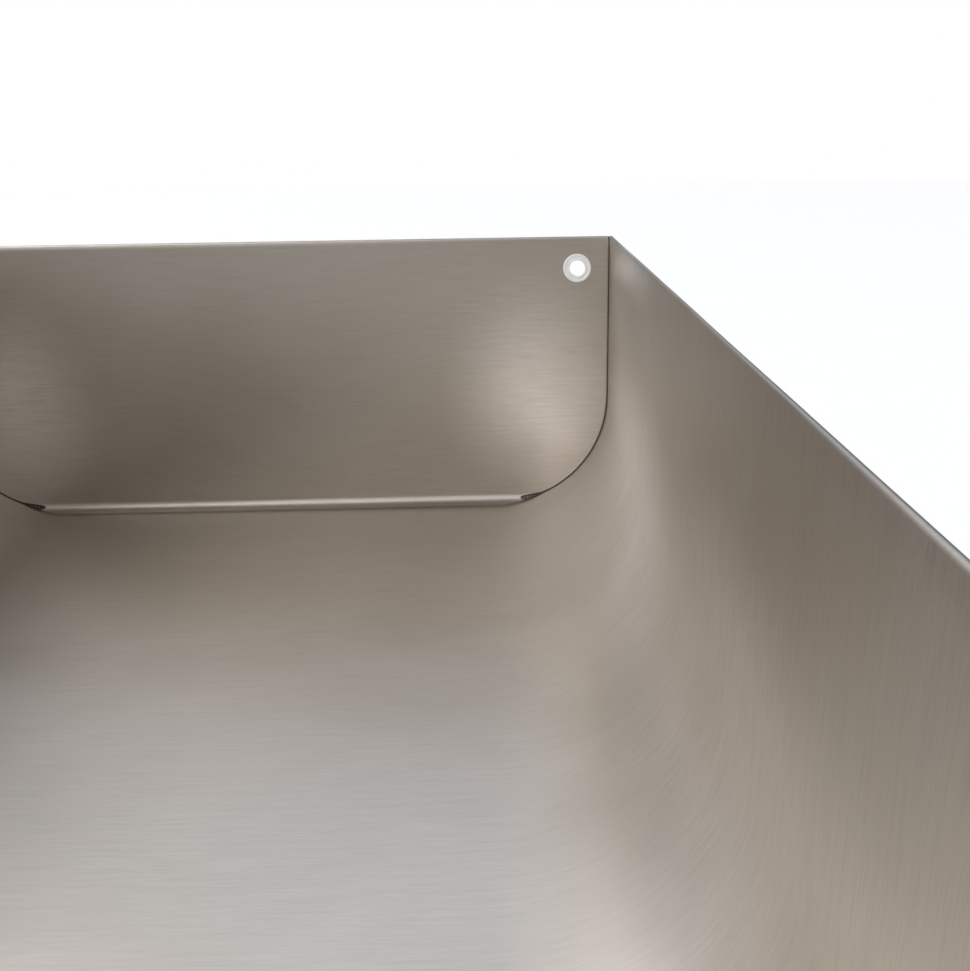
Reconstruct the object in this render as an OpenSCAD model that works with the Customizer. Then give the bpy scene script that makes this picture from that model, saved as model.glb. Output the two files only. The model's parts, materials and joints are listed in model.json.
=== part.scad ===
// Stainless-steel wave slide for a play tower.
// +X runs across the slide, +Y points at the tower and the slide runs down towards -Y.
// The origin lies on the ground, under the middle of the slide.
// All sizes are in millimetres.

/* [Trough] */
// Clear width between the side walls
trough_w = 500; // [420:1:700]
// Height of the side walls above the bed
wall_h = 200; // [160:1:300]
// Inner radius of the corner between the bed and a wall
corner_r = 83; // [60:1:100]
// Thickness of the sheet
sheet_t = 2.5; // [2:0.1:4]

/* [Slide line] */
// Height of the seat's bed above the ground
seat_height = 1300; // [1050:1:1800]
// Length of the level seat behind the first crest
seat_l = 600; // [450:1:800]
// Height of the run-out's bed above the ground
runout_height = 200; // [180:1:260]
// Length of the level run-out before the lip
runout_l = 450; // [400:1:700]
// Steepest slope of the bed, in degrees
slope_steep = 38; // [32:1:42]
// Gentlest slope between two falls, in degrees
slope_gentle = 14; // [8:1:20]
// Radius of the crest and of each wave
wave_r = 450; // [380:1:560]
// Radius of the dip that leads into the run-out
dip_r = 700; // [560:1:850]
// Radius of the rolled lip at the foot
lip_r = 60; // [50:1:75]

/* [End wall] */
// Inner radius of the bend between the bed and the end wall
bend_r = 8; // [5:0.5:10]
// Gap along the seam between the end wall and the trough
seam_gap = 0.3; // [0.2:0.1:0.6]
// Distance of a mounting hole from the inside of the side wall
hole_side = 23; // [18:1:40]
// Distance of a mounting hole from the top of the end wall
hole_top = 22; // [16:1:40]
// Bore of a mounting bush, for an M10 bolt
bush_bore = 11; // [10.5:0.5:13]
// Outer diameter of the bush's flange
bush_flange_d = 20; // [18:1:24]
// Thickness of the bush's flange
bush_flange_t = 1.2; // [0.8:0.1:2]
// Wall of the bush's sleeve
bush_wall = 1.4; // [1:0.1:2]

/* [Joint collars and ribs] */
// Width of a joint collar's flat bar
collar_w = 30; // [26:1:40]
// Thickness of a joint collar
collar_t = 5; // [4:0.5:8]
// Width of a rib's flat bar
rib_w = 24; // [16:1:40]
// Thickness of a rib
rib_t = 4; // [3:0.5:6]
// Nominal diameter of a joint bolt
joint_bolt_d = 8; // [6:1:10]

/* [Supports] */
// Side of a square post
post_w = 50; // [40:1:60]
// Wall of a post
post_wall = 3; // [2:0.5:5]
// Distance of a post's centre line from the middle of the slide
post_x = 150; // [110:1:160]
// Width of a cross beam, along the slide
beam_w = 60; // [50:1:80]
// Height of a cross beam
beam_h = 40; // [30:1:50]
// Wall of a cross beam
beam_wall = 3; // [2:0.5:5]
// Thickness of the lug under a cross beam
lug_t = 8; // [6:1:12]
// Thickness of one cheek of a fork
cheek_t = 6; // [5:1:10]
// Nominal diameter of a pivot bolt
pivot_bolt_d = 12; // [10:1:14]
// Side of a base plate
base_w = 140; // [125:1:180]
// Thickness of a base plate
base_t = 8; // [6:1:12]
// Distance between two anchor holes
anchor_pitch = 100; // [84:1:104]
// Diameter of an anchor hole
anchor_hole_d = 14; // [11:1:15]
// Width of a brace's flat bar
brace_w = 40; // [30:1:50]
// Thickness of a brace
brace_t = 5; // [4:1:8]
// Nominal diameter of a brace bolt
brace_bolt_d = 10; // [8:1:12]

/* [Hidden] */

// Colours of the finishes
brushed = [0.60, 0.57, 0.53];
mill = [0.50, 0.50, 0.49];
bright = [0.72, 0.72, 0.71];
white_plastic = [0.88, 0.87, 0.84];
black_plastic = [0.08, 0.08, 0.08];

// ---------- Profile of the trough ----------
corner_steps = 8; // flats in a quarter circle of the corner
edge_steps = 6; // flats round the top edge of a wall
flat_half = trough_w / 2 - corner_r; // half the level bed
corner_l = corner_r * PI / 2; // length along a corner
edge_r = sheet_t / 2; // the top edge is rounded over its whole thickness
side_l = corner_l + wall_h - edge_r - corner_r; // from the level bed to the start of the rounding

// Point on the trough's inside, l millimetres along it from the middle of the bed
function along(l) =
    l <= flat_half ? [l, 0]
    : l <= flat_half + corner_l ?
        let (a = (l - flat_half) / corner_r * 180 / PI)
        [flat_half + corner_r * sin(a), corner_r * (1 - cos(a))]
    : [trough_w / 2, l - flat_half - corner_l + corner_r];

// Direction that the profile turns away from the channel at l
function outward(l) =
    let (a = max(0, min(90, (l - flat_half) / corner_r * 180 / PI)))
    [sin(a), -cos(a)];

// Places along one side of the profile, when the side is cut to a length of reach
function side_stops(reach) = concat(
    [for (i = [0 : corner_steps]) flat_half + min(corner_l, 0.9 * reach) * i / corner_steps],
    [flat_half + reach]);

function half_inside(reach) = [for (l = side_stops(reach)) along(l)];

function half_outside(reach) = [for (l = side_stops(reach)) along(l) + sheet_t * outward(l)];

// The rounded top edge, from the inside of the sheet to its outside
function half_edge(reach) =
    let (l = flat_half + reach, out = outward(l), up = [-out[1], out[0]])
    [for (i = [1 : edge_steps - 1]) let (a = 180 * i / edge_steps)
        along(l) + edge_r * ((1 - cos(a)) * out + sin(a) * up)];

function mirrored(points) = [for (i = [len(points) - 1 : -1 : 0]) [-points[i][0], points[i][1]]];

function reversed(points) = [for (i = [len(points) - 1 : -1 : 0]) points[i]];

// Closed outline of the sheet, seen along the slide
function sheet_outline(reach) =
    let (right = concat(half_inside(reach), half_edge(reach), reversed(half_outside(reach))))
    concat(right, mirrored(right));

// Outline of the channel's inside, moved outwards by grow and closed at a height of top
function channel_outline(grow, top) =
    let (right = concat(
        [for (i = [0 : corner_steps])
            let (l = flat_half + corner_l * i / corner_steps)
            along(l) + grow * outward(l)],
        [[trough_w / 2 + grow, top]]))
    concat(right, mirrored(right));

// ---------- Line of the slide ----------
sweep_step = 6; // degrees between two rings on an arc
stub_l = 30; // straight end of the wave section, which carries its collar

// Fall and run of an arc that turns from one slope to another
function arc_fall(r, from, to) = r * abs(cos(from) - cos(to));
function arc_run(r, from, to) = r * abs(sin(from) - sin(to));

arcs_fall = arc_fall(wave_r, 0, slope_steep) + 4 * arc_fall(wave_r, slope_steep, slope_gentle)
    + arc_fall(dip_r, slope_steep, 0);
arcs_run = arc_run(wave_r, 0, slope_steep) + 4 * arc_run(wave_r, slope_steep, slope_gentle)
    + arc_run(dip_r, slope_steep, 0);
falls_l = (seat_height - runout_height - arcs_fall) / sin(slope_steep); // all three straight falls together
fall_share = [0.24, 0.30, 0.46];
wave_run = 2 * stub_l + arcs_run + falls_l * cos(slope_steep);

// One leg of the line: a length or a radius, the slope where it starts and the slope where it ends
wave_legs = [
    [stub_l, 0, 0], [wave_r, 0, slope_steep], [falls_l * fall_share[0], slope_steep, slope_steep],
    [wave_r, slope_steep, slope_gentle], [wave_r, slope_gentle, slope_steep],
    [falls_l * fall_share[1], slope_steep, slope_steep],
    [wave_r, slope_steep, slope_gentle], [wave_r, slope_gentle, slope_steep],
    [falls_l * fall_share[2], slope_steep, slope_steep],
    [dip_r, slope_steep, 0], [stub_l, 0, 0]
];

// Where a leg has got to at a share of its turn or length: y, z and slope
function leg_point(start, leg, share) =
    leg[1] == leg[2] ?
        [start[0] - leg[0] * share * cos(leg[1]), start[1] - leg[0] * share * sin(leg[1]), leg[1]]
    : let (slope = leg[1] + (leg[2] - leg[1]) * share, turn = leg[2] > leg[1] ? 1 : -1)
        [start[0] - turn * leg[0] * (sin(slope) - sin(leg[1])),
         start[1] - turn * leg[0] * (cos(leg[1]) - cos(slope)), slope];

function leg_start(legs, start, n) =
    n == 0 ? start : leg_point(leg_start(legs, start, n - 1), legs[n - 1], 1);

function leg_rings(start, leg) =
    let (count = leg[1] == leg[2] ? 1 : ceil(abs(leg[2] - leg[1]) / sweep_step))
    [for (i = [1 : count]) leg_point(start, leg, i / count)];

function line_rings(legs, start) = concat([start],
    [for (n = [0 : len(legs) - 1]) each leg_rings(leg_start(legs, start, n), legs[n])]);

// A point of the profile, set square to the line at a ring
function on_ring(ring, p) = [p[0], ring[0] - p[1] * sin(ring[2]), ring[1] + p[1] * cos(ring[2])];

// Triangles that fill a sheet outline, numbered along it: a strip between the inside and the
// outside, a fan over each rounded edge and two triangles for the level bed
outline_n = 4 * (corner_steps + 2) + 2 * (edge_steps - 1);
function outer(k) = outline_n / 2 - 1 - k;
half_fill = concat(
    [for (k = [0 : corner_steps]) each [[k, k + 1, outer(k + 1)], [k, outer(k + 1), outer(k)]]],
    [for (i = [1 : edge_steps - 1]) let (top = corner_steps + 1) [top, top + i, top + i + 1]]);
outline_fill = concat(
    half_fill,
    [for (f = half_fill) [for (i = [2 : -1 : 0]) outline_n - 1 - f[i]]],
    [[outline_n - 1, 0, outer(0)], [outline_n - 1, outer(0), outline_n / 2]]);

// One closed solid that carries an outline along the rings
module sweep_outlines(rings, outlines) {
    n = outline_n;
    last = len(rings) - 1;
    points = [for (i = [0 : last]) each [for (p = outlines[i]) on_ring(rings[i], p)]];
    sides = [for (i = [0 : last - 1], j = [0 : n - 1])
        let (a = i * n + j, b = i * n + (j + 1) % n, c = a + n, d = b + n)
        each [[a, b, d], [a, d, c]]];
    first_cap = [for (f = outline_fill) [f[2], f[1], f[0]]];
    last_cap = [for (f = outline_fill) [for (j = f) last * n + j]];
    polyhedron(points = points, faces = concat(first_cap, sides, last_cap), convexity = 10);
}

// ---------- Run-out ----------
// The walls keep their height to taper_start and then sweep down to the lip
taper_start = 0.45;
taper_steps = 9;
lip_steps = 10;
lip_side = 16; // what is left of each side at the very end
runout_legs = [[runout_l * taper_start, 0, 0], [runout_l * (1 - taper_start), 0, 0], [lip_r, 0, 90]];
taper_l = runout_legs[1][0] + lip_r * PI / 2;

function taper(share) = lip_side + (side_l - lip_side) * (0.5 + 0.5 * cos(180 * share));

function runout_rings(start) =
    let (straight_end = leg_start(runout_legs, start, 1), lip_start = leg_start(runout_legs, start, 2))
    concat([start],
        [for (i = [0 : taper_steps]) leg_point(straight_end, runout_legs[1], i / taper_steps)],
        [for (i = [1 : lip_steps]) leg_point(lip_start, runout_legs[2], i / lip_steps)]);

lip_share = runout_legs[1][0] / taper_l; // how far the taper has got where the lip starts
runout_sides = concat(
    [side_l],
    [for (i = [0 : taper_steps]) taper(lip_share * i / taper_steps)],
    [for (i = [1 : lip_steps]) taper(lip_share + (1 - lip_share) * i / lip_steps)]);
runout_outlines = [for (reach = runout_sides) sheet_outline(reach)];

// How far the run-out reaches from its joint to the front of the lip
runout_reach = -min([let (rings = runout_rings([0, 0, 0]))
    for (i = [0 : len(rings) - 1], p = runout_outlines[i]) on_ring(rings[i], p)[1]]);

total_l = sheet_t + seat_l + wave_run + runout_reach;
head_y = total_l / 2 - sheet_t; // inside face of the end wall
upper_joint_y = head_y - seat_l;
lower_joint_y = upper_joint_y - wave_run;

// Stands an outline up across the slide: its front face at y and the solid length l behind it
module across(y, z, l) {
    translate([0, y + l, z]) rotate([90, 0, 0]) linear_extrude(height = l) children();
}

// ---------- Troughs ----------
bend_half = flat_half + 8; // half the length of the bend
bush_r = bush_bore / 2 + bush_wall;
bush_clear = 0.1; // around the bush's sleeve
hole_x = trough_w / 2 - hole_side;
hole_z = wall_h - hole_top;

module at_mounting_holes() {
    for (side = [-1, 1]) translate([side * hole_x, 0, hole_z]) children();
}

module head_trough() {
    color(brushed) translate([0, head_y, seat_height]) difference() {
        union() {
            // Bed and walls, opened where the bend leaves the bed
            difference() {
                across(-seat_l, 0, seat_l + sheet_t) polygon(sheet_outline(side_l));
                translate([-bend_half, -bend_r, -2 * sheet_t])
                    cube([2 * bend_half, bend_r + 2 * sheet_t, 2 * sheet_t + bend_r]);
            }
            // End wall, with the seam's gap all the way up both sides
            difference() {
                across(0, 0, sheet_t) polygon(channel_outline(-seam_gap, wall_h));
                translate([-bend_half, -sheet_t, -sheet_t])
                    cube([2 * bend_half, 3 * sheet_t, bend_r + sheet_t]);
            }
            // Bend from the bed up into the end wall
            translate([-bend_half, -bend_r, bend_r]) rotate([90, 0, 90])
                linear_extrude(height = 2 * bend_half)
                intersection() {
                    difference() {
                        circle(r = bend_r + sheet_t, $fn = 64);
                        circle(r = bend_r, $fn = 64);
                    }
                    translate([0, -2 * bend_r]) square(2 * bend_r);
                }
        }
        at_mounting_holes() rotate([90, 0, 0])
            cylinder(r = bush_r + bush_clear, h = 4 * sheet_t, center = true, $fn = 48);
    }
}

module wave_trough() {
    rings = line_rings(wave_legs, [upper_joint_y, seat_height, 0]);
    color(brushed) sweep_outlines(rings, [for (r = rings) sheet_outline(side_l)]);
}

module runout_trough() {
    color(brushed) sweep_outlines(runout_rings([lower_joint_y, runout_height, 0]), runout_outlines);
}

module mounting_bushes() {
    color(white_plastic) translate([0, head_y, seat_height]) at_mounting_holes() rotate([90, 0, 0])
        difference() {
            union() {
                cylinder(d = bush_flange_d, h = bush_flange_t, $fn = 64);
                translate([0, 0, -sheet_t]) cylinder(r = bush_r, h = sheet_t + bush_flange_t, $fn = 48);
            }
            cylinder(d = bush_bore, h = 4 * sheet_t, center = true, $fn = 48);
        }
}

// ---------- Collars and ribs ----------
collar_top = wall_h - 20; // a collar stops short of the top edge
rib_top = wall_h - 60; // a rib stops lower still, out of sight from the seat
weld_gap = 0.1; // between a bar and the sheet that it is welded to
bolt_clear = 1; // added to a bolt's diameter for its hole

// U-shaped flat bar that hugs the outside of the trough
module u_bar(w, l, top) {
    translate([0, l / 2, 0]) rotate([90, 0, 0]) linear_extrude(height = l) difference() {
        polygon(channel_outline(sheet_t + w, top));
        polygon(channel_outline(sheet_t + weld_gap, top + 1));
    }
}

// Holes of a joint collar: three under the bed and two on each side
collar_mid = sheet_t + collar_w / 2;
joint_holes = concat(
    [for (i = [-1 : 1]) [i * flat_half * 0.75, -collar_mid]],
    [for (side = [-1, 1], up = [0.25, 0.8])
        [side * (trough_w / 2 + collar_mid), corner_r + (collar_top - corner_r) * up]]);

module at_joint_holes(y, z) {
    for (p = joint_holes) translate([p[0], y, z + p[1]]) rotate([90, 0, 0]) children();
}

module joint_collar(joint_y, z, side) {
    difference() {
        translate([0, joint_y + side * collar_t / 2, z]) u_bar(collar_w, collar_t, collar_top);
        at_joint_holes(joint_y, z)
            cylinder(d = joint_bolt_d + bolt_clear, h = 4 * collar_t, center = true, $fn = 32);
    }
}

module head_joint_collar() {
    color(mill) joint_collar(upper_joint_y, seat_height, 1);
}

module wave_upper_collar() {
    color(mill) joint_collar(upper_joint_y, seat_height, -1);
}

module wave_lower_collar() {
    color(mill) joint_collar(lower_joint_y, runout_height, 1);
}

module runout_joint_collar() {
    color(mill) joint_collar(lower_joint_y, runout_height, -1);
}

module seat_rib() {
    color(mill) translate([0, head_y - seat_l * 0.3, seat_height]) u_bar(rib_w, rib_t, rib_top);
}

module runout_rib() {
    color(mill) translate([0, lower_joint_y - runout_l * 0.2, runout_height]) u_bar(rib_w, rib_t, rib_top);
}

// A rib square to the bed, half way down one of the straight falls
module fall_rib(leg) {
    p = leg_point(leg_start(wave_legs, [upper_joint_y, seat_height, 0], leg), wave_legs[leg], 0.5);
    color(mill) translate([0, p[0], p[1]]) rotate([p[2], 0, 0]) u_bar(rib_w, rib_t, rib_top);
}

module wave_rib_upper() {
    fall_rib(2);
}

module wave_rib_middle() {
    fall_rib(5);
}

module wave_rib_lower() {
    fall_rib(8);
}

// ---------- Fasteners ----------
washer_t = 1.6;
head_share = 0.65; // height of a bolt's head, as a share of its diameter
nut_share = 0.8; // height of a nut, as a share of its bolt's diameter
spare_l = 3; // thread that shows past a nut

// Hexagon by its size across the flats
module hexagon(across_flats, h) {
    cylinder(d = across_flats / cos(30), h = h, $fn = 6);
}

// Bolt that clamps a stack: the head's seat at z = 0 and the shank along -Z
module bolt(d, grip) {
    hexagon(1.6 * d, head_share * d);
    translate([0, 0, -grip - nut_share * d - spare_l])
        cylinder(d = d, h = grip + nut_share * d + spare_l + 0.5, $fn = 32);
}

module washer(d) {
    difference() {
        cylinder(d = 2 * d, h = washer_t, $fn = 40);
        cylinder(d = d + 0.5, h = 4 * washer_t, center = true, $fn = 32);
    }
}

module nut(d) {
    difference() {
        hexagon(1.6 * d, nut_share * d);
        cylinder(d = d + 0.05, h = 4 * d, center = true, $fn = 32);
    }
}

module joint_bolts(y, z) {
    color(bright) at_joint_holes(y - collar_t - washer_t, z) bolt(joint_bolt_d, 2 * (collar_t + washer_t));
}

module joint_washers(y, z) {
    color(bright) {
        at_joint_holes(y - collar_t, z) washer(joint_bolt_d);
        at_joint_holes(y + collar_t + washer_t, z) washer(joint_bolt_d);
    }
}

module joint_nuts(y, z) {
    color(bright) at_joint_holes(y + collar_t + washer_t + nut_share * joint_bolt_d, z) nut(joint_bolt_d);
}

module upper_joint_bolts() {
    joint_bolts(upper_joint_y, seat_height);
}

module upper_joint_washers() {
    joint_washers(upper_joint_y, seat_height);
}

module upper_joint_nuts() {
    joint_nuts(upper_joint_y, seat_height);
}

module lower_joint_bolts() {
    joint_bolts(lower_joint_y, runout_height);
}

module lower_joint_washers() {
    joint_washers(lower_joint_y, runout_height);
}

module lower_joint_nuts() {
    joint_nuts(lower_joint_y, runout_height);
}

// ---------- Supports ----------
head_support_y = head_y - seat_l * 0.8;
runout_support_y = lower_joint_y - runout_l * 0.4;
beam_l = 2 * (post_x + post_w);
cap_plug = 12; // how far a beam's cap reaches into it
cap_t = 3;
cap_fit = 0.4; // added up, between a cap's plug and the two sides of its beam
lug_w = 44;
pivot_drop = 34; // from a cross beam down to its pivots
fork_reach = 30; // from a pivot down to its fork's cap plate
fork_plate_t = 6;
side_clear = 0.5; // between a lug and each cheek of its fork

function beam_under(bed_z) = bed_z - sheet_t - beam_h;
function pivot_z(bed_z) = beam_under(bed_z) - pivot_drop;
function post_top(bed_z) = pivot_z(bed_z) - fork_reach - fork_plate_t;

module cross_beam(y, bed_z) {
    color(mill) translate([0, y, beam_under(bed_z) + beam_h / 2]) difference() {
        cube([beam_l, beam_w, beam_h], center = true);
        cube([beam_l + 2, beam_w - 2 * beam_wall, beam_h - 2 * beam_wall], center = true);
    }
}

// Plastic plugs in both ends of a cross beam
module beam_caps(y, bed_z) {
    plug = [cap_plug + cap_t, beam_w - 2 * beam_wall - cap_fit, beam_h - 2 * beam_wall - cap_fit];
    color(black_plastic) for (side = [-1, 1])
        translate([side * (beam_l + cap_t) / 2, y, beam_under(bed_z) + beam_h / 2]) {
            cube([cap_t, beam_w, beam_h], center = true);
            translate([-side * cap_plug / 2, 0, 0]) cube(plug, center = true);
        }
}

// Plate across the slide's X, with a round foot about its pivot and a square head
module ear(t, up, w) {
    rotate([90, 0, 90]) linear_extrude(height = t, center = true) difference() {
        union() {
            circle(d = w, $fn = 48);
            translate([-w / 2, up > 0 ? 0 : up]) square([w, abs(up)]);
        }
        circle(d = pivot_bolt_d + bolt_clear, $fn = 32);
    }
}

module lugs(y, bed_z) {
    color(mill) for (side = [-1, 1])
        translate([side * post_x, y, pivot_z(bed_z)]) ear(lug_t, pivot_drop, lug_w);
}

module fork(y, bed_z, side) {
    color(mill) translate([side * post_x, y, pivot_z(bed_z)]) {
        for (cheek = [-1, 1])
            translate([cheek * (lug_t / 2 + side_clear + cheek_t / 2), 0, 0])
                ear(cheek_t, -fork_reach, lug_w);
        translate([-post_w / 2, -post_w / 2, -fork_reach - fork_plate_t])
            cube([post_w, post_w, fork_plate_t]);
    }
}

module post(y, bed_z, side) {
    h = post_top(bed_z) - base_t;
    inside = post_w - 2 * post_wall;
    translate([side * post_x, y, base_t]) difference() {
        translate([-post_w / 2, -post_w / 2, 0]) cube([post_w, post_w, h]);
        translate([-inside / 2, -inside / 2, -1]) cube([inside, inside, h + 2]);
    }
}

module base_plate(y, side) {
    color(mill) translate([side * post_x, y, 0]) difference() {
        translate([-base_w / 2, -base_w / 2, 0]) cube([base_w, base_w, base_t]);
        for (i = [-1, 1], j = [-1, 1]) translate([i * anchor_pitch / 2, j * anchor_pitch / 2, 0])
            cylinder(d = anchor_hole_d, h = 4 * base_t, center = true, $fn = 40);
    }
}

fork_half = lug_t / 2 + side_clear + cheek_t; // from a pivot's middle to its fork's outside

module pivot_bolts(y, bed_z) {
    color(bright) for (side = [-1, 1])
        translate([side * (post_x + fork_half + washer_t), y, pivot_z(bed_z)]) rotate([0, side * 90, 0])
            bolt(pivot_bolt_d, 2 * (fork_half + washer_t));
}

module pivot_washers(y, bed_z) {
    color(bright) for (side = [-1, 1], face = [-1, 1])
        translate([side * post_x + face * fork_half, y, pivot_z(bed_z)]) rotate([0, face * 90, 0])
            washer(pivot_bolt_d);
}

module pivot_nuts(y, bed_z) {
    color(bright) for (side = [-1, 1])
        translate([side * (post_x - fork_half - washer_t), y, pivot_z(bed_z)]) rotate([0, -side * 90, 0])
            nut(pivot_bolt_d);
}

module head_cross_beam() {
    cross_beam(head_support_y, seat_height);
}

module head_beam_caps() {
    beam_caps(head_support_y, seat_height);
}

module head_lugs() {
    lugs(head_support_y, seat_height);
}

module head_fork_left() {
    fork(head_support_y, seat_height, -1);
}

module head_fork_right() {
    fork(head_support_y, seat_height, 1);
}

module head_pivot_bolts() {
    pivot_bolts(head_support_y, seat_height);
}

module head_pivot_washers() {
    pivot_washers(head_support_y, seat_height);
}

module head_pivot_nuts() {
    pivot_nuts(head_support_y, seat_height);
}

module head_base_plate_left() {
    base_plate(head_support_y, -1);
}

module head_base_plate_right() {
    base_plate(head_support_y, 1);
}

// ---------- Cross brace of the head posts ----------
brace_low = 120; // height of the lower brace bolts above the ground
brace_high = post_top(seat_height) - 90;
brace_rise = brace_high - brace_low;
brace_l = sqrt(pow(2 * post_x, 2) + pow(brace_rise, 2));
brace_lean = atan2(brace_rise, 2 * post_x);

// Each bolt's side, its height and which face of the posts its brace lies on
brace_ends = [[-1, brace_low, -1], [1, brace_high, -1], [1, brace_low, 1], [-1, brace_high, 1]];

module at_brace_ends(out) {
    for (e = brace_ends)
        translate([e[0] * post_x, head_support_y + e[2] * (post_w / 2 + out), e[1]])
            rotate([e[2] > 0 ? -90 : 90, 0, 0]) children();
}

module head_post(side) {
    color(mill) difference() {
        post(head_support_y, seat_height, side);
        for (z = [brace_low, brace_high]) translate([side * post_x, head_support_y, z]) rotate([90, 0, 0])
            cylinder(d = brace_bolt_d + bolt_clear, h = 2 * post_w, center = true, $fn = 32);
    }
}

module head_post_left() {
    head_post(-1);
}

module head_post_right() {
    head_post(1);
}

// Flat bar with round ends, from one post's foot to the other's head
module brace(face) {
    middle_y = head_support_y + face * (post_w + brace_t) / 2;
    color(mill) translate([0, middle_y, (brace_low + brace_high) / 2]) rotate([90, face * brace_lean, 0])
        linear_extrude(height = brace_t, center = true) difference() {
            union() {
                square([brace_l, brace_w], center = true);
                for (end = [-1, 1]) translate([end * brace_l / 2, 0]) circle(d = brace_w, $fn = 48);
            }
            for (end = [-1, 1])
                translate([end * brace_l / 2, 0]) circle(d = brace_bolt_d + bolt_clear, $fn = 32);
        }
}

module front_brace() {
    brace(-1);
}

module rear_brace() {
    brace(1);
}

module brace_bolts() {
    color(bright) at_brace_ends(brace_t + washer_t) bolt(brace_bolt_d, post_w + brace_t + 2 * washer_t);
}

module brace_washers() {
    color(bright) {
        at_brace_ends(brace_t) washer(brace_bolt_d);
        at_brace_ends(-post_w - washer_t) washer(brace_bolt_d);
    }
}

module brace_nuts() {
    color(bright) at_brace_ends(-post_w - washer_t - nut_share * brace_bolt_d) nut(brace_bolt_d);
}

module runout_cross_beam() {
    cross_beam(runout_support_y, runout_height);
}

module runout_beam_caps() {
    beam_caps(runout_support_y, runout_height);
}

module runout_lugs() {
    lugs(runout_support_y, runout_height);
}

module runout_fork_left() {
    fork(runout_support_y, runout_height, -1);
}

module runout_fork_right() {
    fork(runout_support_y, runout_height, 1);
}

module runout_post_left() {
    color(mill) post(runout_support_y, runout_height, -1);
}

module runout_post_right() {
    color(mill) post(runout_support_y, runout_height, 1);
}

module runout_pivot_bolts() {
    pivot_bolts(runout_support_y, runout_height);
}

module runout_pivot_washers() {
    pivot_washers(runout_support_y, runout_height);
}

module runout_pivot_nuts() {
    pivot_nuts(runout_support_y, runout_height);
}

module runout_base_plate_left() {
    base_plate(runout_support_y, -1);
}

module runout_base_plate_right() {
    base_plate(runout_support_y, 1);
}

head_trough();
wave_trough();
runout_trough();
mounting_bushes();
seat_rib();
wave_rib_upper();
wave_rib_middle();
wave_rib_lower();
runout_rib();
head_joint_collar();
wave_upper_collar();
wave_lower_collar();
runout_joint_collar();
upper_joint_bolts();
upper_joint_washers();
upper_joint_nuts();
lower_joint_bolts();
lower_joint_washers();
lower_joint_nuts();
head_cross_beam();
head_beam_caps();
head_lugs();
head_fork_left();
head_fork_right();
head_post_left();
head_post_right();
head_base_plate_left();
head_base_plate_right();
head_pivot_bolts();
head_pivot_washers();
head_pivot_nuts();
front_brace();
rear_brace();
brace_bolts();
brace_washers();
brace_nuts();
runout_cross_beam();
runout_beam_caps();
runout_lugs();
runout_fork_left();
runout_fork_right();
runout_post_left();
runout_post_right();
runout_base_plate_left();
runout_base_plate_right();
runout_pivot_bolts();
runout_pivot_washers();
runout_pivot_nuts();
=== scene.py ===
# %% [markdown]
# # A stainless wave slide, dressed in Blender
# The real slide is a trough of bent steel sheet: a level seat with an end wall that bolts to the
# tower, a waved chute, and a run-out with a turned-down lip. Collars and ribs of flat bar hug the
# sheet from outside, and square posts carry it.
#
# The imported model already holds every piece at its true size. This script keeps those places and
# sizes, and makes each surface again at the fineness that a close view needs.

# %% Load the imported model
import json
import bmesh
import bpy
import numpy as np
from mathutils import Matrix, Vector


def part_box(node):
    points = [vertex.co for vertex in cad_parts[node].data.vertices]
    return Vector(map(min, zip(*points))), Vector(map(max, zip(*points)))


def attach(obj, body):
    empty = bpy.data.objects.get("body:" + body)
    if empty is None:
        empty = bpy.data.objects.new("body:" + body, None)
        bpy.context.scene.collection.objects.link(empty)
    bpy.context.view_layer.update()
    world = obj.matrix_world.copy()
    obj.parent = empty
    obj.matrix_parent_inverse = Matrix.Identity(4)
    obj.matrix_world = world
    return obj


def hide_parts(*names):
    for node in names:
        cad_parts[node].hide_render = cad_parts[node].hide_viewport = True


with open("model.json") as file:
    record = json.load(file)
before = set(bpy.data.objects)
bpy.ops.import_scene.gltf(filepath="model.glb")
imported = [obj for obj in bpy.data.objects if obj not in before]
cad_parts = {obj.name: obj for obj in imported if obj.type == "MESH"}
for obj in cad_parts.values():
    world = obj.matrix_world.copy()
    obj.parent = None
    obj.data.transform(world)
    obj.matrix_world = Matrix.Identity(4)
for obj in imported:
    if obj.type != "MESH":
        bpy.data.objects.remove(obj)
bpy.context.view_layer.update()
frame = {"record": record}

# %% [markdown]
# ## Places taken from the model
# A fitter reads sizes off the drawing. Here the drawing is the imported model: the boxes of its
# nodes give the height of the bed, the walls and the two joints. What a box can't tell, such as a
# radius, is named once below.

# %% Sizes of the troughs
MM = 0.001
head_low, head_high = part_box("head_trough")
sheet_t = 2.5 * MM
corner_r = 83 * MM
bend_r = 8 * MM
half_w = head_high.x - sheet_t
flat_half = half_w - corner_r
wall_h = head_high.z - head_low.z - sheet_t
seat_z = head_low.z + sheet_t
wall_y = head_high.y - sheet_t
upper_joint_y = head_low.y
lower_joint_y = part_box("runout_trough")[1].y
runout_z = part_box("runout_cross_beam")[1].z + sheet_t
corner_l = corner_r * np.pi / 2
edge_r = sheet_t / 2
side_l = corner_l + wall_h - corner_r - edge_r
print(f"seat at {seat_z:.3f} m, walls {wall_h:.3f} m high")
print(f"joints at y {upper_joint_y:.3f} and {lower_joint_y:.3f}")

# %% [markdown]
# ## A sheet of steel as a surface
# Sheet metal could be modelled as a thin box and bent with modifiers. A formula is cleaner: the
# inside of the sheet is a grid of points, the outside is the same grid moved out by the
# thickness, and a half-round strip closes the border as a deburred edge does.

# %% Closed shell of a sheet
EDGE_STEPS = 5

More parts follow.
